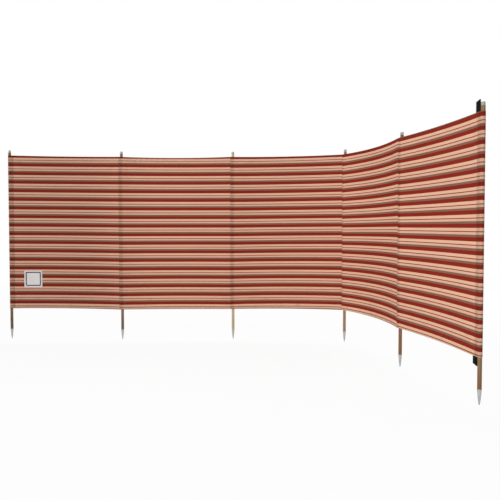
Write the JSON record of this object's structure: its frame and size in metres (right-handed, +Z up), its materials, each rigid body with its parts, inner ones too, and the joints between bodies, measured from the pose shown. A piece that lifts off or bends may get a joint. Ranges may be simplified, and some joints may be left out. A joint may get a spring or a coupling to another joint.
{
  "type": "beach windbreak",
  "caption": "Striped cloth windbreak in bays on round wooden poles with steel ground spikes and caps, its end bays turned round the sheltered side.",
  "frame": {"origin": "blunt tip of the left-hand pole's spike, where it meets the ground", "axes": "+X along the straight run of bays, +Y away from the sheltered side, +Z up"},
  "size_m": [3.0361, 1.8517, 1.508],
  "materials": {
    "pole_wood": "bare, weathered and rubbed",
    "spike_steel": "rolled sheet, dull",
    "cap_steel": "drawn sheet, dull",
    "striped_cloth": "woven canvas in level stripes",
    "label_cloth": "smooth woven patch",
    "black_batten": "matt black"
  },
  "bodies": {
    "root": {"cap_1": "cap_steel", "cap_2": "cap_steel", "cap_3": "cap_steel", "cap_4": "cap_steel", "cap_5": "cap_steel", "cap_6": "cap_steel", "end_batten": "black_batten", "label_patch": "label_cloth", "panel_1": "striped_cloth", "panel_2": "striped_cloth", "panel_3": "striped_cloth", "panel_4": "striped_cloth", "panel_5": "striped_cloth", "pole_1": "pole_wood", "pole_2": "pole_wood", "pole_3": "pole_wood", "pole_4": "pole_wood", "pole_5": "pole_wood", "pole_6": "pole_wood", "sleeve_1": "striped_cloth", "sleeve_2": "striped_cloth", "sleeve_3": "striped_cloth", "sleeve_4": "striped_cloth", "sleeve_5": "striped_cloth", "sleeve_6": "striped_cloth", "spike_1": "spike_steel", "spike_2": "spike_steel", "spike_3": "spike_steel", "spike_4": "spike_steel", "spike_5": "spike_steel", "spike_6": "spike_steel"}
  },
  "joints": []
}
